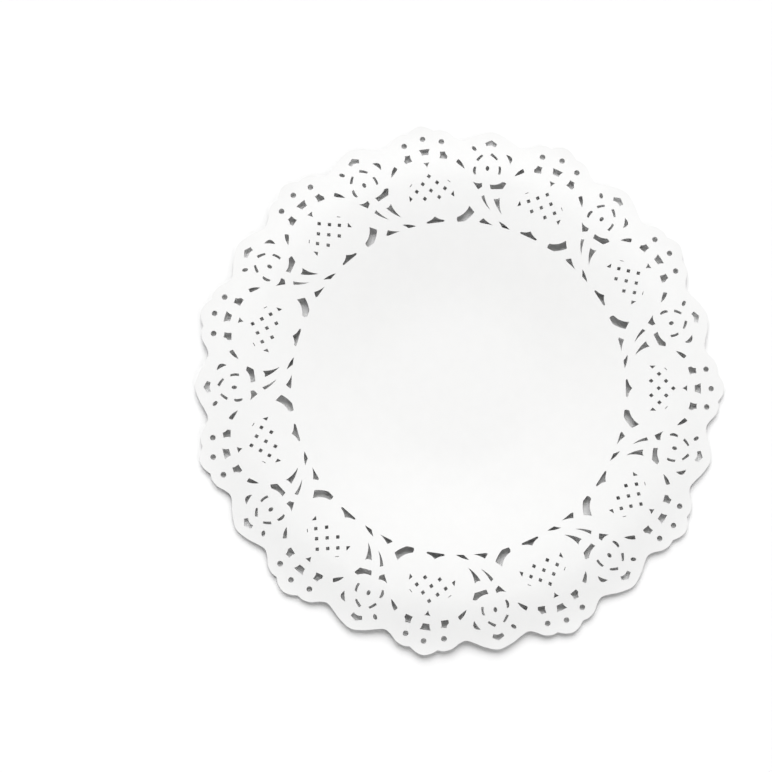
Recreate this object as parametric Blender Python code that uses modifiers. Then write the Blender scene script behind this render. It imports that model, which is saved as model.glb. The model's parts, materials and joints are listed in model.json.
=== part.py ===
"""Round paper lace doily, die-cut from one sheet. Its plain middle lies flat and its lace lifts."""

import math
from collections import namedtuple

import bmesh
import bpy
from mathutils import Vector

MM = 0.001

# Driving dimensions, in millimetres and degrees. A heart's axis is angle 0, and angles grow anticlockwise.
HEARTS = 11
REPEAT = 360.0 / HEARTS
SHEET_THICKNESS = 1.0
PLAIN_RADIUS = 67.5  # the uncut middle ends at the inmost row of holes
REST_RADIUS = 26.0  # inside this the sheet lies on the surface
LIFTED_RADIUS = 82.0  # here the lace is at its full height
LACE_LIFT = 3.7  # height of the lace's underside over the surface
DROOP_RADIUS = 84.0  # outside this the lace bends back down
DROOP = 2.3  # height that it loses on the way to the rim
RING_RADII = (REST_RADIUS, 41.0, 55.0)  # rings of points that let the plain middle bend
RING_POINTS = 3 * HEARTS
RIM_TURN = 0.25  # the scallops sit this far round from the hearts
RIM_STEPS = 2  # straight pieces between two rows of the rim's tables
SIDE_BOW_STEP = 0.45  # a bowed side gets one more straight piece for each of these in its bow
STRAIGHT_BOW = 0.12  # a side that bows less than this is one straight piece
OVAL_SIDES = 8
WELD = 0.001

PAPER_COLOUR = (0.9, 0.9, 0.89, 1.0)
PAPER_ROUGHNESS = 0.85

# How the lace waves round the edge: so many crests, each so high, the first turned by the phase.
Wave = namedtuple("Wave", "count height phase")
WAVES = (
    Wave(1, 0.3, 190.0),
    Wave(3, 0.3, 0.0),
    Wave(5, 0.12, 230.0),
)

# The cut edge from the tip over a heart to the crest over a rose. It turns sharply at the notch alone.
Rim = namedtuple("Rim", "angle radius")
TIP_LOBE = (
    Rim(0.0, 108.0),
    Rim(1.6, 107.2),
    Rim(3.05, 105.5),  # notch
)
SIDE_LOBE = (
    Rim(3.05, 105.5),  # notch
    Rim(4.4, 105.7),  # shoulder
    Rim(6.1, 104.7),
    Rim(7.8, 102.4),
    Rim(9.3, 101.4),  # valley
    Rim(11.2, 102.5),
    Rim(13.3, 104.3),
    Rim(REPEAT / 2, 105.9),  # crest over a rose
)

# A cut-out's corners. Bow is how far the side to the next corner swells outwards, or inwards if negative.
Corner = namedtuple("Corner", "angle radius bow")
HEART_CUTS = {
    "keystone": (
        Corner(-1.33, 98.1, 0.1),
        Corner(1.33, 98.1, -0.2),
        Corner(0.83, 95.6, 0.0),
        Corner(-0.83, 95.6, -0.2),
    ),
    "drop": (
        Corner(-0.8, 92.4, 0.0),
        Corner(0.8, 92.4, -0.15),
        Corner(0.0, 90.3, -0.15),
    ),
    "tent": (
        Corner(-0.15, 70.05, -0.3),
        Corner(2.6, 68.35, 0.4),
        Corner(2.6, PLAIN_RADIUS, 0.0),
        Corner(-2.9, PLAIN_RADIUS, 0.4),
        Corner(-2.9, 68.35, -0.3),
    ),
    "lobe_slot": (
        Corner(-11.5, 74.05, 0.0),
        Corner(-13.25, 71.65, 0.3),
        Corner(-10.1, PLAIN_RADIUS, 0.0),
        Corner(-7.75, 67.3, 0.0),
        Corner(-7.45, 68.3, 0.0),
        Corner(-7.65, 69.3, -0.75),
    ),
}
# These stand on both sides of a heart's axis.
PAIRED_CUTS = {
    "cup": (
        Corner(3.65, 96.65, -0.1),
        Corner(4.93, 96.65, -0.25),
        Corner(5.44, 94.6, 0.0),
        Corner(5.2, 93.25, 0.0),
        Corner(3.4, 93.85, -0.25),
    ),
    "leaf": (
        Corner(8.15, 93.3, 0.1),
        Corner(7.55, 91.95, 0.1),
        Corner(9.75, 89.2, 0.38),
    ),
}
ROSE_CUTS = {
    "petal_left": (
        Corner(13.75, 91.9, 0.0),
        Corner(14.35, 91.9, -0.25),
        Corner(14.16, 88.45, 0.0),
        Corner(13.52, 88.45, 0.25),
    ),
    "petal_top": (
        Corner(14.75, 94.85, 0.15),
        Corner(16.4, 97.0, 0.0),
        Corner(16.8, 96.0, -0.1),
        Corner(15.05, 94.2, 0.0),
    ),
    "petal_right": (
        Corner(18.4, 95.3, 0.0),
        Corner(18.8, 95.85, 0.15),
        Corner(20.15, 93.3, 0.0),
        Corner(19.55, 92.8, -0.1),
    ),
    "petal_low": (
        Corner(19.95, 90.4, 0.0),
        Corner(20.5, 90.4, 0.55),
        Corner(20.38, 87.05, 0.0),
        Corner(19.9, 87.1, -0.2),
    ),
    "crescent": (
        Corner(13.0, 97.4, -0.2),
        Corner(11.55, 93.6, 1.75),
    ),
    "crown": (
        Corner(16.86, 102.5, 0.0),
        Corner(18.25, 100.95, 0.0),
        Corner(17.85, 99.5, -0.55),
        Corner(15.8, 99.5, 0.0),
        Corner(15.45, 101.1, 0.0),
    ),
    "long_sepal": (
        Corner(11.4, 85.4, 0.15),
        Corner(12.55, 85.7, -0.55),
        Corner(15.85, 83.7, 0.0),
        Corner(15.4, 81.8, 0.0),
        Corner(12.1, 82.8, 0.0),
    ),
    "short_sepal": (
        Corner(18.07, 83.9, -0.45),
        Corner(20.68, 84.15, 0.0),
        Corner(18.98, 81.0, 0.0),
        Corner(17.9, 82.4, 0.0),
    ),
    "wide_stem": (
        Corner(12.3, 79.2, -0.4),
        Corner(14.1, 78.2, 0.4),
        Corner(10.57, 72.55, -0.5),
    ),
    "slim_stem": (
        Corner(17.05, 79.1, 0.0),
        Corner(17.85, 78.2, 0.35),
        Corner(14.5, 73.4, -0.3),
    ),
    "long_thorn": (
        Corner(6.7, PLAIN_RADIUS, 0.0),
        Corner(9.43, PLAIN_RADIUS, 0.0),
        Corner(10.0, 68.3, 0.0),
        Corner(11.14, 69.6, 0.35),
    ),
    "low_thorn": (
        Corner(12.68, PLAIN_RADIUS, 0.0),
        Corner(16.93, PLAIN_RADIUS, 0.0),
        Corner(17.57, 67.95, 0.0),
        Corner(16.3, 69.7, -0.25),
    ),
}

# Round and oval holes. Lean turns the outer end towards growing angles.
Oval = namedtuple("Oval", "angle radius width length lean")
OVALS = {
    "pin": Oval(0.0, 102.5, 2.25, 2.25, 0.0),
    "pin_left": Oval(4.5, 100.8, 2.3, 2.3, 0.0),
    "pin_right": Oval(-4.25, 100.8, 2.3, 2.3, 0.0),
    "rose_eye": Oval(17.05, 90.2, 1.5, 2.1, 0.0),
    "seed": Oval(20.75, 98.05, 1.5, 2.4, 42.0),
}


def place(angle, radius):
    """The point at an angle in degrees and a radius in millimetres, in metres."""
    turn = math.radians(angle)
    return Vector((math.cos(turn), math.sin(turn))) * radius * MM


def signed_area(points):
    return sum(a.cross(b) for a, b in zip(points, points[1:] + points[:1])) / 2


def mirrored(corners):
    """The same cut-out on the other side of the heart's axis. A side's bow goes with its first corner."""
    ends = corners[1:] + corners[:1]
    sides = reversed(tuple(zip(corners, ends)))
    return tuple(Corner(-end.angle, end.radius, start.bow) for start, end in sides)


def bow_pieces(bow):
    if abs(bow) < STRAIGHT_BOW:
        return 1
    return 1 + math.ceil(abs(bow) / SIDE_BOW_STEP)


def cut_outline(corners, turn):
    points = [place(corner.angle + turn, corner.radius) for corner in corners]
    outward = math.copysign(1.0, signed_area(points))
    outline = []
    for corner, start, end in zip(corners, points, points[1:] + points[:1]):
        side = end - start
        swell = Vector((side.y, -side.x)).normalized() * outward * corner.bow * MM
        pieces = bow_pieces(corner.bow)
        for piece in range(pieces):
            t = piece / pieces
            outline.append(start + side * t + swell * 4 * t * (1 - t))
    return outline


def oval_outline(oval, turn):
    centre = place(oval.angle + turn, oval.radius)
    half_length = place(oval.angle + turn + oval.lean, oval.length / 2)
    half_width = place(oval.angle + turn + oval.lean + 90, oval.width / 2)
    steps = [math.tau * side / OVAL_SIDES for side in range(OVAL_SIDES)]
    return [centre + half_length * math.cos(step) + half_width * math.sin(step) for step in steps]


def between(before, start, end, after, t):
    """A point on the smooth curve from start to end that also heeds the points before and after."""
    bend = 2 * before - 5 * start + 4 * end - after
    twist = 3 * start - before - 3 * end + after
    return (2 * start + (end - before) * t + bend * t**2 + twist * t**3) / 2


def smooth(knots):
    """Points along the smooth open curve through the knots, all but the last."""
    ends = knots[:1] + knots + knots[-1:]
    spans = [ends[first : first + 4] for first in range(len(knots) - 1)]
    return [between(*span, step / RIM_STEPS) for span in spans for step in range(RIM_STEPS)]


def rim_outline():
    tip = [Rim(-row.angle, row.radius) for row in TIP_LOBE[:0:-1]] + list(TIP_LOBE)
    side = list(SIDE_LOBE) + [Rim(REPEAT - row.angle, row.radius) for row in SIDE_LOBE[-2::-1]]
    outline = []
    for heart in range(HEARTS):
        turn = heart * REPEAT + RIM_TURN
        for lobe in (tip, side):
            outline += smooth([place(row.angle + turn, row.radius) for row in lobe])
    return outline


def ring_outline(radius):
    return [place(360.0 * point / RING_POINTS, radius) for point in range(RING_POINTS)]


def lace_outlines():
    cuts = list(HEART_CUTS.values()) + list(ROSE_CUTS.values())
    for corners in PAIRED_CUTS.values():
        cuts += [corners, mirrored(corners)]
    outlines = [rim_outline()]
    for heart in range(HEARTS):
        outlines += [cut_outline(corners, heart * REPEAT) for corners in cuts]
        outlines += [oval_outline(oval, heart * REPEAT) for oval in OVALS.values()]
    return outlines


def add_filled(sheet, outlines):
    """Adds to the sheet the flat area between closed outlines, filled by a 2D curve."""
    curve = bpy.data.curves.new("zone", "CURVE")
    curve.dimensions = "2D"
    curve.fill_mode = "BOTH"
    for outline in outlines:
        spline = curve.splines.new("POLY")
        spline.points.add(len(outline) - 1)
        spline.use_cyclic_u = True
        for point, spot in zip(spline.points, outline):
            point.co = (spot.x, spot.y, 0.0, 1.0)
    guide = bpy.data.objects.new("zone", curve)
    bpy.context.scene.collection.objects.link(guide)
    depsgraph = bpy.context.evaluated_depsgraph_get()
    mesh = bpy.data.meshes.new_from_object(guide.evaluated_get(depsgraph))
    sheet.from_mesh(mesh)
    bpy.data.objects.remove(guide)
    bpy.data.curves.remove(curve)
    bpy.data.meshes.remove(mesh)


def flat_sheet():
    """The uncut middle as a disc and rings, and the lace round it, welded into one flat sheet."""
    rings = [ring_outline(radius) for radius in RING_RADII]
    zones = [rings[:1]]
    zones += [[inner, outer] for inner, outer in zip(rings, rings[1:])]
    zones.append(rings[-1:] + lace_outlines())
    sheet = bmesh.new()
    for zone in zones:
        add_filled(sheet, zone)
    bmesh.ops.remove_doubles(sheet, verts=sheet.verts, dist=WELD * MM)
    inner_edges = [edge for edge in sheet.edges if not edge.is_boundary]
    bmesh.ops.beautify_fill(sheet, faces=sheet.faces, edges=inner_edges, method="AREA")
    return sheet


def ease(value, start, end):
    """0 before start, 1 after end, and a smooth rise between them."""
    t = min(max((value - start) / (end - start), 0.0), 1.0)
    return t * t * (3 - 2 * t)


def lift(spot):
    """Height of the underside: none in the middle, up to the waving lace, and down again to the rim."""
    radius = spot.length / MM
    angle = math.atan2(spot.y, spot.x)
    waves = sum(wave.height * math.sin(wave.count * angle + math.radians(wave.phase)) for wave in WAVES)
    rise = (LACE_LIFT + waves) * ease(radius, REST_RADIUS, LIFTED_RADIUS)
    return (rise - DROOP * ease(radius, DROOP_RADIUS, TIP_LOBE[0].radius)) * MM


def lifted_mesh():
    sheet = flat_sheet()
    for point in sheet.verts:
        point.co.z = lift(point.co.xy)
    bmesh.ops.recalc_face_normals(sheet, faces=sheet.faces)
    if max(sheet.faces, key=bmesh.types.BMFace.calc_area).normal.z < 0:
        bmesh.ops.reverse_faces(sheet, faces=sheet.faces)
    mesh = bpy.data.meshes.new("doily")
    sheet.to_mesh(mesh)
    sheet.free()
    return mesh


def paper():
    material = bpy.data.materials.new("white_paper")
    material.use_nodes = True
    shader = material.node_tree.nodes["Principled BSDF"]
    shader.inputs["Base Color"].default_value = PAPER_COLOUR
    shader.inputs["Roughness"].default_value = PAPER_ROUGHNESS
    shader.inputs["Metallic"].default_value = 0.0
    return material


def main():
    for old in list(bpy.data.objects):
        bpy.data.objects.remove(old)
    doily = bpy.data.objects.new("doily", lifted_mesh())
    doily.data.materials.append(paper())
    thickness = doily.modifiers.new("sheet thickness", "SOLIDIFY")
    thickness.thickness = SHEET_THICKNESS * MM
    thickness.offset = 1.0
    collection = bpy.data.collections.new("Lace doily")
    bpy.context.scene.collection.children.link(collection)
    collection.objects.link(doily)


main()
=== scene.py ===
"""A round paper lace doily on a table: one thin die-cut sheet, its finish and its light."""

import json
import math
from collections import namedtuple

import bmesh
import bpy
from mathutils import Matrix, Vector, noise
from mathutils.geometry import delaunay_2d_cdt
from mathutils.kdtree import KDTree

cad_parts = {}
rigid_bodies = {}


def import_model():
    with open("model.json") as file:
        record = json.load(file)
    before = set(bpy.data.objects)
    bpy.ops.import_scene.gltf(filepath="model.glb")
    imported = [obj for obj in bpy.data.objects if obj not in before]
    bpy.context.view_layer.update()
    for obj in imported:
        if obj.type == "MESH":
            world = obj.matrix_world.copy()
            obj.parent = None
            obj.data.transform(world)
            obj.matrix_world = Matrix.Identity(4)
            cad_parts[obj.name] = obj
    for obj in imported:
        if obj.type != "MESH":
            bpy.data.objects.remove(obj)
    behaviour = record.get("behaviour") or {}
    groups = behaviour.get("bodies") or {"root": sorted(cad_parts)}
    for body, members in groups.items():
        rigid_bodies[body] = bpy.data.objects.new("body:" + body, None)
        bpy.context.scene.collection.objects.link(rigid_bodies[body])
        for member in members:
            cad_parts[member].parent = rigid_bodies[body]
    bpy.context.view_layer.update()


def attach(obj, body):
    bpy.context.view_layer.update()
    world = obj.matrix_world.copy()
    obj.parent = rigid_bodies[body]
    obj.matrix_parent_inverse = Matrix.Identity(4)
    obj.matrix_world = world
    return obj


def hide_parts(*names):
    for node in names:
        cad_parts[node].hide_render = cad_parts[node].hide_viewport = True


for old in list(bpy.data.objects):
    bpy.data.objects.remove(old)
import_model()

MM = 0.001

# The doily's sizes are in millimetres and degrees. A heart's axis is angle 0, and angles grow
# anticlockwise.
HEARTS = 11
REPEAT = 360.0 / HEARTS
DIAMETER = 216.0  # across the tips of the scallops, and so the size of the blank
PAPER_THICKNESS = 0.3
PLAIN_RADIUS = 67.5  # the uncut middle ends at the inmost row of holes
REST_RADIUS = 26.0  # inside this the sheet lies on the table
LIFTED_RADIUS = 82.0  # here the lace is at its full height
LACE_LIFT = 3.7  # height of the lace's underside over the table
DROOP_RADIUS = 84.0  # outside this the lace bends back down
DROOP = 2.3  # height that it loses on the way to the rim

# How finely the cut edges and the sheet between them are drawn.
RIM_STEPS = 6  # straight pieces between two rows of the rim's tables
SIDE_STEP = 0.6  # length of a straight piece along a bowed side
STRAIGHT_BOW = 0.04  # a side that bows less than this is one straight piece
CORNER_ROUND = 0.22  # a punched corner starts to turn this far before its point
MOST_ROUND = 0.3  # but its turn takes no more than this share of a side
CORNER_STEPS = 3
OVAL_SIDES = 24
PLAIN_PITCH = 3.2  # between points of the plain middle
LACE_PITCH = 1.5  # between points of the lace
LACE_START = 64.0  # the finer points start here
CLEAR_SHARE = 0.55  # a point nearer to a cut edge than this share of the pitch is left out
SAME_POINT = 1e-6  # points nearer than this are one
SHARP_TURN = 40.0  # the sheet looks smooth except where its faces meet at more than this

# The slight unevenness of a loose sheet of paper: how high its small rises are, and how wide.
COCKLE_HEIGHT = 0.05
COCKLE_SIZE = 22.0

# How the lace waves round the edge: so many crests, each so high, the first turned by the phase.
Wave = namedtuple("Wave", "count height phase")
WAVES = (
    Wave(1, 0.3, 190.0),
    Wave(3, 0.3, 0.0),
    Wave(5, 0.12, 230.0),
)

# The cut edge from the tip over a heart to the crest over a rose. It turns sharply at the notch
# alone.
RIM_TURN = 0.25  # the scallops sit this far round from the hearts
Rim = namedtuple("Rim", "angle radius")
TIP_LOBE = (
    Rim(0.0, 108.0),
    Rim(1.6, 107.2),
    Rim(3.05, 105.5),  # notch
)
SIDE_LOBE = (
    Rim(3.05, 105.5),  # notch
    Rim(4.4, 105.7),  # shoulder
    Rim(6.1, 104.7),
    Rim(7.8, 102.4),
    Rim(9.3, 101.4),  # valley
    Rim(11.2, 102.5),
    Rim(13.3, 104.3),
    Rim(REPEAT / 2, 105.9),  # crest over a rose
)

# A cut-out's corners. Bow is how far the side to the next corner swells outwards, or inwards if
# negative.
Corner = namedtuple("Corner", "angle radius bow")
HEART_CUTS = {
    "keystone": (
        Corner(-1.33, 98.1, 0.1),
        Corner(1.33, 98.1, -0.2),
        Corner(0.83, 95.6, 0.0),
        Corner(-0.83, 95.6, -0.2),
    ),
    "drop": (
        Corner(-0.8, 92.4, 0.0),
        Corner(0.8, 92.4, -0.15),
        Corner(0.0, 90.3, -0.15),
    ),
    "tent": (
        Corner(-0.15, 70.05, -0.3),
        Corner(2.6, 68.35, 0.4),
        Corner(2.6, PLAIN_RADIUS, 0.0),
        Corner(-2.9, PLAIN_RADIUS, 0.4),
        Corner(-2.9, 68.35, -0.3),
    ),
    "lobe_slot": (
        Corner(-11.5, 74.05, 0.0),
        Corner(-13.25, 71.65, 0.3),
        Corner(-10.1, PLAIN_RADIUS, 0.0),
        Corner(-7.75, 67.3, 0.0),
        Corner(-7.45, 68.3, 0.0),
        Corner(-7.65, 69.3, -0.75),
    ),
}
# These stand on both sides of a heart's axis.
PAIRED_CUTS = {
    "cup": (
        Corner(3.65, 96.65, -0.1),
        Corner(4.93, 96.65, -0.25),
        Corner(5.44, 94.6, 0.0),
        Corner(5.2, 93.25, 0.0),
        Corner(3.4, 93.85, -0.25),
    ),
    "leaf": (
        Corner(8.15, 93.3, 0.1),
        Corner(7.55, 91.95, 0.1),
        Corner(9.75, 89.2, 0.38),
    ),
}
ROSE_CUTS = {
    "petal_left": (
        Corner(13.75, 91.9, 0.0),
        Corner(14.35, 91.9, -0.25),
        Corner(14.16, 88.45, 0.0),
        Corner(13.52, 88.45, 0.25),
    ),
    "petal_top": (
        Corner(14.75, 94.85, 0.15),
        Corner(16.4, 97.0, 0.0),
        Corner(16.8, 96.0, -0.1),
        Corner(15.05, 94.2, 0.0),
    ),
    "petal_right": (
        Corner(18.4, 95.3, 0.0),
        Corner(18.8, 95.85, 0.15),
        Corner(20.15, 93.3, 0.0),
        Corner(19.55, 92.8, -0.1),
    ),
    "petal_low": (
        Corner(19.95, 90.4, 0.0),
        Corner(20.5, 90.4, 0.55),
        Corner(20.38, 87.05, 0.0),
        Corner(19.9, 87.1, -0.2),
    ),
    "crescent": (
        Corner(13.0, 97.4, -0.2),
        Corner(11.55, 93.6, 1.75),
    ),
    "crown": (
        Corner(16.86, 102.5, 0.0),
        Corner(18.25, 100.95, 0.0),
        Corner(17.85, 99.5, -0.55),
        Corner(15.8, 99.5, 0.0),
        Corner(15.45, 101.1, 0.0),
    ),
    "long_sepal": (
        Corner(11.4, 85.4, 0.15),
        Corner(12.55, 85.7, -0.55),
        Corner(15.85, 83.7, 0.0),
        Corner(15.4, 81.8, 0.0),
        Corner(12.1, 82.8, 0.0),
    ),
    "short_sepal": (
        Corner(18.07, 83.9, -0.45),
        Corner(20.68, 84.15, 0.0),
        Corner(18.98, 81.0, 0.0),
        Corner(17.9, 82.4, 0.0),
    ),
    "wide_stem": (
        Corner(12.3, 79.2, -0.4),
        Corner(14.1, 78.2, 0.4),
        Corner(10.57, 72.55, -0.5),
    ),
    "slim_stem": (
        Corner(17.05, 79.1, 0.0),
        Corner(17.85, 78.2, 0.35),
        Corner(14.5, 73.4, -0.3),
    ),
    "long_thorn": (
        Corner(6.7, PLAIN_RADIUS, 0.0),
        Corner(9.43, PLAIN_RADIUS, 0.0),
        Corner(10.0, 68.3, 0.0),
        Corner(11.14, 69.6, 0.35),
    ),
    "low_thorn": (
        Corner(12.68, PLAIN_RADIUS, 0.0),
        Corner(16.93, PLAIN_RADIUS, 0.0),
        Corner(17.57, 67.95, 0.0),
        Corner(16.3, 69.7, -0.25),
    ),
}

# Round and oval holes. Lean turns the outer end towards growing angles.
Oval = namedtuple("Oval", "angle radius width length lean")
OVALS = {
    "pin": Oval(0.0, 102.5, 2.25, 2.25, 0.0),
    "pin_left": Oval(4.5, 100.8, 2.3, 2.3, 0.0),
    "pin_right": Oval(-4.25, 100.8, 2.3, 2.3, 0.0),
    "rose_eye": Oval(17.05, 90.2, 1.5, 2.1, 0.0),
    "seed": Oval(20.75, 98.05, 1.5, 2.4, 42.0),
}

# The lattice in each heart. Out is along the heart's axis, away from the doily's middle, and aside
# is square to it.
LATTICE_TURN = -0.09
DIAMOND_HALF_WIDTH = 0.93
DIAMOND_HALF_LENGTH = 1.0
Spot = namedtuple("Spot", "out aside")
DIAMONDS = (
    Spot(86.65, 0.0),
    Spot(83.7, 2.94),
    Spot(83.7, -2.94),
    Spot(80.7, 0.0),
    Spot(80.9, 5.8),
    Spot(80.9, -5.8),
    Spot(77.65, 2.95),
    Spot(77.65, -2.95),
)
HALF_DIAMOND = (Spot(78.15, 7.85), Spot(79.55, 9.15), Spot(77.05, 9.15))
SLIVER = (Spot(84.1, 7.2), Spot(84.3, 7.4), Spot(83.25, 8.45), Spot(83.05, 8.25))

# The paper's finishes. Cloudiness is how much darker its thin spots are, and relief is how far its
# fibres stand out, in millimetres. The cut edge's colour is a little darker than the face's:
# painted shade.
Finish = namedtuple("Finish", "name colour cloudiness roughness relief")
FACE = Finish("paper_face", (0.805, 0.805, 0.8, 1.0), 0.015, 0.95, 0.02)
# The cut edge is a shade darker than the face as painted shade on its narrow walls; its stronger
# clouds, roughness and relief are the rough cut paper.
CUT_EDGE = Finish("cut_edge", (0.785, 0.785, 0.78, 1.0), 0.06, 1.0, 0.05)
PAPER_SPECULAR = 0.25

# The paper's grain, in millimetres and degrees.
CLOUD_SIZE = 5.0
CLOUD_DETAIL = 4.0
THIN_CLOUD = 0.3  # noise at which the paper is at its thinnest
THICK_CLOUD = 0.7  # and at its thickest
FIBRE_WIDTH = 0.22
FIBRE_LENGTH = 1.8
FIBRE_DETAIL = 2.0
FIBRE_TURNS = (32.0, -47.0)  # how the two sets of fibres lie
FIBRE_GLEAM = 0.2  # how much less rough the top of a fibre is

# The table, in metres.
TABLE_SIZE = 40.0  # wide enough to fill low views
TABLE_TOP = -0.0001  # just clear of the paper
TABLE_WHITE = (0.885, 0.885, 0.885, 1.0)
TABLE_ROUGHNESS = 0.9
TABLE_SPECULAR = 0.2

# The light: broad lamps, placed by degrees anticlockwise from +X and up from the table, and a glow
# from all round.
Lamp = namedtuple("Lamp", "name azimuth elevation strength width")
LAMPS = (
    Lamp("key", 97.0, 46.0, 3.46, 50.0),
    Lamp("right_fill", 30.0, 38.0, 0.27, 30.0),
    Lamp("left_fill", 235.0, 36.0, 0.45, 40.0),
    Lamp("near_fill", 315.0, 40.0, 0.54, 40.0),
)
GLOW = 0.118
BACKDROP = 1.0  # as white as the table looks
WHITE_LIGHT = (1.0, 1.0, 1.0, 1.0)

# The camera, in degrees and metres. Its azimuth is anticlockwise from -Y, and it aims at a point to
# the left of the doily's middle.
VIEW_AZIMUTH = -27.717
VIEW_ELEVATION = 82.596
VIEW_ROLL = 27.951
VIEW_DISTANCE = 0.8418
VIEW_TARGET = Vector((-0.02937, 0.00035, 0.0))
LENS = 97.55
SENSOR = 36.0


def place(angle, radius):
    """The point at an angle in degrees and a radius, both as on the chart."""
    turn = math.radians(angle)
    return Vector((math.cos(turn), math.sin(turn))) * radius


def signed_area(points):
    """The area inside an outline, negative where its points run clockwise."""
    return sum(a.cross(b) for a, b in zip(points, points[1:] + points[:1])) / 2


def mirrored(corners):
    """The same cut-out on the other side of the heart's axis. A bow stays with its own side."""
    ends = corners[1:] + corners[:1]
    sides = reversed(tuple(zip(corners, ends)))
    return tuple(Corner(-end.angle, end.radius, start.bow) for start, end in sides)


def rounded_outline(points, bows):
    """A punched outline: straight or bowed sides that meet in slightly rounded corners."""
    outward = math.copysign(1.0, signed_area(points))
    sides = []
    for start, end, bow in zip(points, points[1:] + points[:1], bows):
        along = end - start
        swell = Vector((along.y, -along.x)).normalized() * outward * bow
        trim = min(CORNER_ROUND / along.length, MOST_ROUND)
        pieces = 1 if abs(bow) < STRAIGHT_BOW else math.ceil(along.length / SIDE_STEP) + 1
        steps = [trim + (1 - 2 * trim) * piece / pieces for piece in range(pieces + 1)]
        # The swell is full half way along and none at the ends.
        sides.append([start + along * t + swell * 4 * t * (1 - t) for t in steps])
    outline = []
    for corner, before, side in zip(points, sides[-1:] + sides[:-1], sides):
        for step in range(1, CORNER_STEPS):
            t = step / CORNER_STEPS
            outline.append(before[-1].lerp(corner, t).lerp(corner.lerp(side[0], t), t))
        outline += side
    return outline


def cut_outline(corners, turn):
    """A cut-out of the heart whose axis is at the angle turn."""
    points = [place(corner.angle + turn, corner.radius) for corner in corners]
    return rounded_outline(points, [corner.bow for corner in corners])


def oval_outline(oval, turn):
    """A round or oval hole of the heart whose axis is at the angle turn."""
    centre = place(oval.angle + turn, oval.radius)
    half_length = place(oval.angle + turn + oval.lean, oval.length / 2)
    half_width = place(oval.angle + turn + oval.lean + 90, oval.width / 2)
    steps = [math.tau * side / OVAL_SIDES for side in range(OVAL_SIDES)]
    return [centre + half_length * math.cos(step) + half_width * math.sin(step) for step in steps]


def lattice_outlines(turn):
    """The open gaps between the crossed strips in the heart whose axis is at the angle turn."""
    wide, long = DIAMOND_HALF_WIDTH, DIAMOND_HALF_LENGTH
    gaps = []
    for spot in DIAMONDS:
        gaps.append(
            (
                Spot(spot.out + long, spot.aside),
                Spot(spot.out, spot.aside + wide),
                Spot(spot.out - long, spot.aside),
                Spot(spot.out, spot.aside - wide),
            )
        )
    for gap in (HALF_DIAMOND, SLIVER):
        gaps.append(gap)
        gaps.append(tuple(Spot(spot.out, -spot.aside) for spot in gap))
    out = place(turn + LATTICE_TURN, 1.0)
    aside = place(turn + LATTICE_TURN + 90, 1.0)
    outlines = []
    for gap in gaps:
        points = [out * spot.out + aside * spot.aside for spot in gap]
        outlines.append(rounded_outline(points, [0.0] * len(points)))
    return outlines


def between(before, start, end, after, t):
    """A point on the smooth curve from start to end, which also heeds the two beyond them."""
    bend = 2 * before - 5 * start + 4 * end - after
    twist = 3 * start - before - 3 * end + after
    return (2 * start + (end - before) * t + bend * t**2 + twist * t**3) / 2


def smooth(knots):
    """Points along the smooth open curve through the knots, all but the last."""
    ends = knots[:1] + knots + knots[-1:]
    spans = [ends[first : first + 4] for first in range(len(knots) - 1)]
    return [between(*span, step / RIM_STEPS) for span in spans for step in range(RIM_STEPS)]


def rim_outline():
    """The scalloped edge, all the way round."""
    tip = [Rim(-row.angle, row.radius) for row in TIP_LOBE[:0:-1]] + list(TIP_LOBE)
    side = list(SIDE_LOBE) + [Rim(REPEAT - row.angle, row.radius) for row in SIDE_LOBE[-2::-1]]
    outline = []
    for heart in range(HEARTS):
        turn = heart * REPEAT + RIM_TURN
        for lobe in (tip, side):
            outline += smooth([place(row.angle + turn, row.radius) for row in lobe])
    return outline


def hole_outlines():
    """Every hole of the pattern, heart by heart."""
    cuts = list(HEART_CUTS.values()) + list(ROSE_CUTS.values())
    for corners in PAIRED_CUTS.values():
        cuts += [corners, mirrored(corners)]
    outlines = []
    for heart in range(HEARTS):
        turn = heart * REPEAT
        outlines += [cut_outline(corners, turn) for corners in cuts]
        outlines += [oval_outline(oval, turn) for oval in OVALS.values()]
        outlines += lattice_outlines(turn)
    return outlines


def inner_points(outlines):
    """Points between the cut edges, so that the sheet can bend evenly.

    They stand in rings, staggered from ring to ring, as the corners of near even triangles.
    """
    edge_points = [point for outline in outlines for point in outline]
    tree = KDTree(len(edge_points))
    for index, point in enumerate(edge_points):
        tree.insert(point.to_3d(), index)
    tree.balance()
    points = [Vector((0.0, 0.0))]
    radius = PLAIN_PITCH
    ring = 0
    while radius < DIAMETER / 2:
        pitch = PLAIN_PITCH if radius < LACE_START else LACE_PITCH
        count = round(math.tau * radius / pitch)
        for step in range(count):
            point = place(360.0 * (step + ring % 2 / 2) / count, radius)
            if tree.find(point.to_3d())[2] > pitch * CLEAR_SHARE:
                points.append(point)
        radius += pitch * math.sqrt(3) / 2
        ring += 1
    return points


def flat_sheet():
    """The blank with its holes punched, as flat triangles."""
    outlines = [rim_outline()] + hole_outlines()
    points = []
    faces = []
    for outline in outlines:
        if signed_area(outline) < 0:
            outline.reverse()
        faces.append(list(range(len(points), len(points) + len(outline))))
        points += outline
    points += inner_points(outlines)
    spots, _, triangles, _, _, inside = delaunay_2d_cdt(points, [], faces, 0, SAME_POINT)
    sheet = bmesh.new()
    corners = [sheet.verts.new(spot.to_3d()) for spot in spots]
    for triangle, outlines_round_it in zip(triangles, inside):
        if outlines_round_it == [0]:  # inside the rim and in no hole
            sheet.faces.new([corners[index] for index in triangle])
    loose = [corner for corner in corners if not corner.link_faces]
    bmesh.ops.delete(sheet, geom=loose, context="VERTS")
    bmesh.ops.recalc_face_normals(sheet, faces=sheet.faces)
    return sheet


def ease(value, start, end):
    """0 before start, 1 after end, and a smooth rise between them."""
    t = min(max((value - start) / (end - start), 0.0), 1.0)
    return t * t * (3 - 2 * t)


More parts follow.
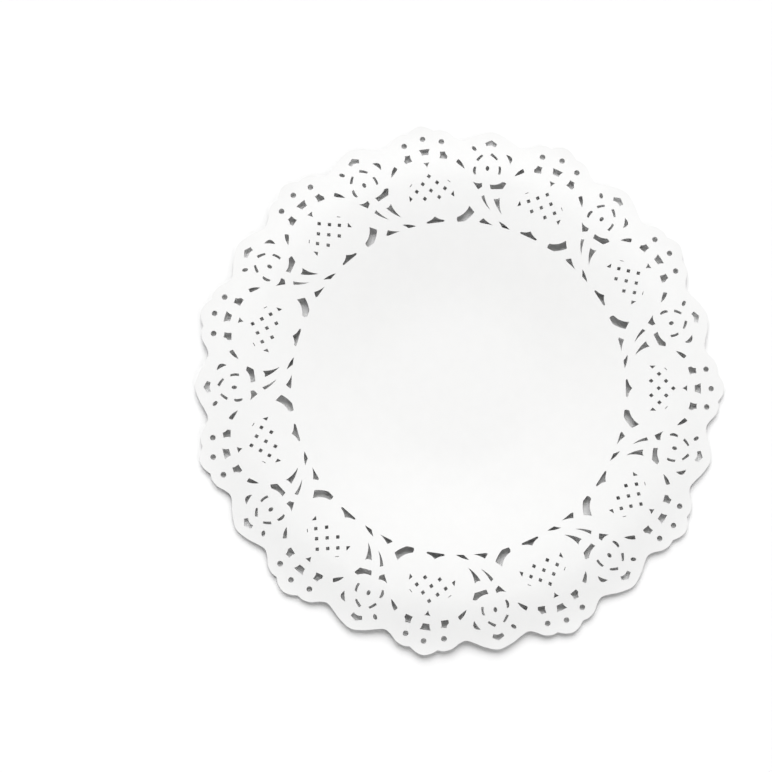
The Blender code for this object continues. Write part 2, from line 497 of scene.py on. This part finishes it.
def lift(point):
    """Height of the underside: none in the middle, up to the lace, and down again to the rim."""
    angle = math.atan2(point.y, point.x)
    waves = sum(
        wave.height * math.sin(wave.count * angle + math.radians(wave.phase)) for wave in WAVES
    )
    rise = (LACE_LIFT + waves) * ease(point.xy.length, REST_RADIUS, LIFTED_RADIUS)
    return rise - DROOP * ease(point.xy.length, DROOP_RADIUS, DIAMETER / 2)


def cockle(point):
    """Small rises of the loose sheet, never below where it would lie flat."""
    return COCKLE_HEIGHT * (1 + noise.noise(point.xy.to_3d() / COCKLE_SIZE))


def make_doily():
    """The sheet as it lies on the table, and the area of the paper in it."""
    sheet = flat_sheet()
    paper_area = sum(face.calc_area() for face in sheet.faces) * MM * MM
    for point in sheet.verts:
        point.co.z = lift(point.co) + cockle(point.co)
    bmesh.ops.scale(sheet, vec=(MM, MM, MM), verts=sheet.verts)
    mesh = bpy.data.meshes.new("lace_doily")
    sheet.to_mesh(mesh)
    sheet.free()
    fibres = paper_fibres()
    for finish in (FACE, CUT_EDGE):
        mesh.materials.append(paper_material(finish, fibres))
    doily = bpy.data.objects.new("lace_doily", mesh)
    bpy.context.scene.collection.objects.link(doily)
    thicken(doily)
    return doily, paper_area


def thicken(doily):
    """Give the bent sheet its paper's thickness, upwards, with the cut edge in its own finish,
    whose slightly darker colour is painted shade.
    """
    thickness = doily.modifiers.new("paper thickness", "SOLIDIFY")
    thickness.thickness = PAPER_THICKNESS * MM
    thickness.offset = 1.0
    thickness.material_offset_rim = 1  # from the face's finish to the cut edge's, which carries painted shade
    evaluated = doily.evaluated_get(bpy.context.evaluated_depsgraph_get())
    solid = bpy.data.meshes.new_from_object(evaluated)
    solid.name = "lace_doily"
    doily.modifiers.clear()
    doily.data = solid
    solid.shade_smooth()
    solid.set_sharp_from_angle(angle=math.radians(SHARP_TURN))


def calculate(tree, operation, *values):
    """The result of a Math node whose values are numbers or other nodes' outputs."""
    node = tree.nodes.new("ShaderNodeMath")
    node.operation = operation
    for value, socket in zip(values, node.inputs):
        if isinstance(value, bpy.types.NodeSocket):
            tree.links.new(value, socket)
        else:
            socket.default_value = value
    return node.outputs["Value"]


def paper_fibres():
    """Shader group: the faint clouds of thin paper and the short crossed fibres on its face."""
    group = bpy.data.node_groups.new("paper_fibres", "ShaderNodeTree")
    sockets = group.interface
    sockets.new_socket("Colour", in_out="INPUT", socket_type="NodeSocketColor")
    sockets.new_socket("Cloudiness", in_out="INPUT", socket_type="NodeSocketFloat")
    sockets.new_socket("Roughness", in_out="INPUT", socket_type="NodeSocketFloat")
    sockets.new_socket("Colour", in_out="OUTPUT", socket_type="NodeSocketColor")
    sockets.new_socket("Roughness", in_out="OUTPUT", socket_type="NodeSocketFloat")
    sockets.new_socket("Height", in_out="OUTPUT", socket_type="NodeSocketFloat")
    nodes, link = group.nodes, group.links.new
    given = nodes.new("NodeGroupInput")
    result = nodes.new("NodeGroupOutput")
    place_in_object = nodes.new("ShaderNodeTexCoord").outputs["Object"]

    clouds = nodes.new("ShaderNodeTexNoise")
    clouds.inputs["Scale"].default_value = 1 / (CLOUD_SIZE * MM)
    clouds.inputs["Detail"].default_value = CLOUD_DETAIL
    link(place_in_object, clouds.inputs["Vector"])

    fibre_sets = []
    for turn in FIBRE_TURNS:
        lay = nodes.new("ShaderNodeMapping")
        lay.inputs["Rotation"].default_value = (0.0, 0.0, math.radians(turn))
        lay.inputs["Scale"].default_value = (FIBRE_WIDTH / FIBRE_LENGTH, 1.0, 1.0)
        link(place_in_object, lay.inputs["Vector"])
        fibres = nodes.new("ShaderNodeTexNoise")
        fibres.inputs["Scale"].default_value = 1 / (FIBRE_WIDTH * MM)
        fibres.inputs["Detail"].default_value = FIBRE_DETAIL
        link(lay.outputs["Vector"], fibres.inputs["Vector"])
        fibre_sets.append(fibres.outputs["Fac"])
    felt = calculate(group, "MAXIMUM", *fibre_sets)
    rubbed = calculate(group, "MULTIPLY_ADD", felt, -FIBRE_GLEAM, given.outputs["Roughness"])
    link(rubbed, result.inputs["Roughness"])
    link(felt, result.inputs["Height"])

    # Thick spots keep the whole colour, and thin ones are darker by the cloudiness.
    thickness = nodes.new("ShaderNodeMapRange")
    thickness.inputs["From Min"].default_value = THIN_CLOUD
    thickness.inputs["From Max"].default_value = THICK_CLOUD
    link(clouds.outputs["Fac"], thickness.inputs["Value"])
    thinness = calculate(group, "SUBTRACT", 1.0, thickness.outputs["Result"])
    dimming = calculate(group, "MULTIPLY", thinness, given.outputs["Cloudiness"])
    tint = nodes.new("ShaderNodeVectorMath")
    tint.operation = "SCALE"
    link(given.outputs["Colour"], tint.inputs["Vector"])
    link(calculate(group, "SUBTRACT", 1.0, dimming), tint.inputs["Scale"])
    link(tint.outputs["Vector"], result.inputs["Colour"])
    return group


def paper_material(finish, fibres):
    """White paper in one of its finishes."""
    material = bpy.data.materials.new(finish.name)
    material.use_nodes = True
    nodes, link = material.node_tree.nodes, material.node_tree.links.new
    shader = nodes["Principled BSDF"]
    surface = nodes.new("ShaderNodeGroup")
    surface.node_tree = fibres
    surface.inputs["Colour"].default_value = finish.colour
    surface.inputs["Cloudiness"].default_value = finish.cloudiness
    surface.inputs["Roughness"].default_value = finish.roughness
    bump = nodes.new("ShaderNodeBump")
    bump.inputs["Distance"].default_value = finish.relief * MM
    link(surface.outputs["Height"], bump.inputs["Height"])
    link(surface.outputs["Colour"], shader.inputs["Base Color"])
    link(surface.outputs["Roughness"], shader.inputs["Roughness"])
    link(bump.outputs["Normal"], shader.inputs["Normal"])
    shader.inputs["Specular IOR Level"].default_value = PAPER_SPECULAR
    return material


def make_table():
    """The plain pale surface under the doily."""
    bpy.ops.mesh.primitive_plane_add(size=TABLE_SIZE, location=(0.0, 0.0, TABLE_TOP))
    table = bpy.context.object
    table.name = "table"
    material = bpy.data.materials.new("pale_table")
    material.use_nodes = True
    shader = material.node_tree.nodes["Principled BSDF"]
    shader.inputs["Base Color"].default_value = TABLE_WHITE
    shader.inputs["Roughness"].default_value = TABLE_ROUGHNESS
    shader.inputs["Specular IOR Level"].default_value = TABLE_SPECULAR
    table.data.materials.append(material)
    return table


def direction(azimuth, elevation):
    """Unit vector towards a lamp."""
    turn, rise = math.radians(azimuth), math.radians(elevation)
    level = math.cos(rise)
    return Vector((math.cos(turn) * level, math.sin(turn) * level, math.sin(rise)))


def make_studio():
    """A soft glow from all round, and a white backdrop behind the table."""
    world = bpy.data.worlds.new("studio")
    world.use_nodes = True
    nodes, link = world.node_tree.nodes, world.node_tree.links.new
    glow = nodes["Background"]
    glow.inputs["Color"].default_value = WHITE_LIGHT
    glow.inputs["Strength"].default_value = GLOW
    backdrop = nodes.new("ShaderNodeBackground")
    backdrop.inputs["Color"].default_value = WHITE_LIGHT
    backdrop.inputs["Strength"].default_value = BACKDROP
    seen = nodes.new("ShaderNodeLightPath").outputs["Is Camera Ray"]
    either = nodes.new("ShaderNodeMixShader")
    link(seen, either.inputs["Fac"])
    link(glow.outputs["Background"], either.inputs[1])
    link(backdrop.outputs["Background"], either.inputs[2])
    link(either.outputs["Shader"], nodes["World Output"].inputs["Surface"])
    return world


def make_lights():
    """The lamps and the glow. The key lamp stands behind, so its shadows fall to the near side."""
    for lamp in LAMPS:
        light = bpy.data.lights.new(lamp.name, "SUN")
        light.energy = lamp.strength
        light.angle = math.radians(lamp.width)
        holder = bpy.data.objects.new(lamp.name, light)
        towards = direction(lamp.azimuth, lamp.elevation)
        holder.rotation_euler = towards.to_track_quat("Z", "Y").to_euler()
        bpy.context.scene.collection.objects.link(holder)
    bpy.context.scene.world = make_studio()
    bpy.context.scene.view_settings.view_transform = "Standard"


def make_camera():
    """A long lens high over the doily. Back is the way from its target to the camera."""
    turn, rise = math.radians(VIEW_AZIMUTH), math.radians(VIEW_ELEVATION)
    level = math.cos(rise)
    back = Vector((math.sin(turn) * level, -math.cos(turn) * level, math.sin(rise)))
    right = (-back).cross(Vector((0.0, 0.0, 1.0))).normalized()
    up = right.cross(-back)
    roll = Matrix.Rotation(math.radians(VIEW_ROLL), 3, "Z")
    facing = Matrix((right, up, back)).transposed() @ roll
    lens = bpy.data.cameras.new("camera")
    lens.lens = LENS
    lens.sensor_width = SENSOR
    camera = bpy.data.objects.new("camera", lens)
    camera.matrix_world = Matrix.Translation(VIEW_TARGET + back * VIEW_DISTANCE) @ facing.to_4x4()
    bpy.context.scene.collection.objects.link(camera)
    bpy.context.scene.camera = camera


make_camera()
make_lights()
table = make_table()
doily, paper_area = make_doily()
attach(doily, "root")
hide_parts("doily")
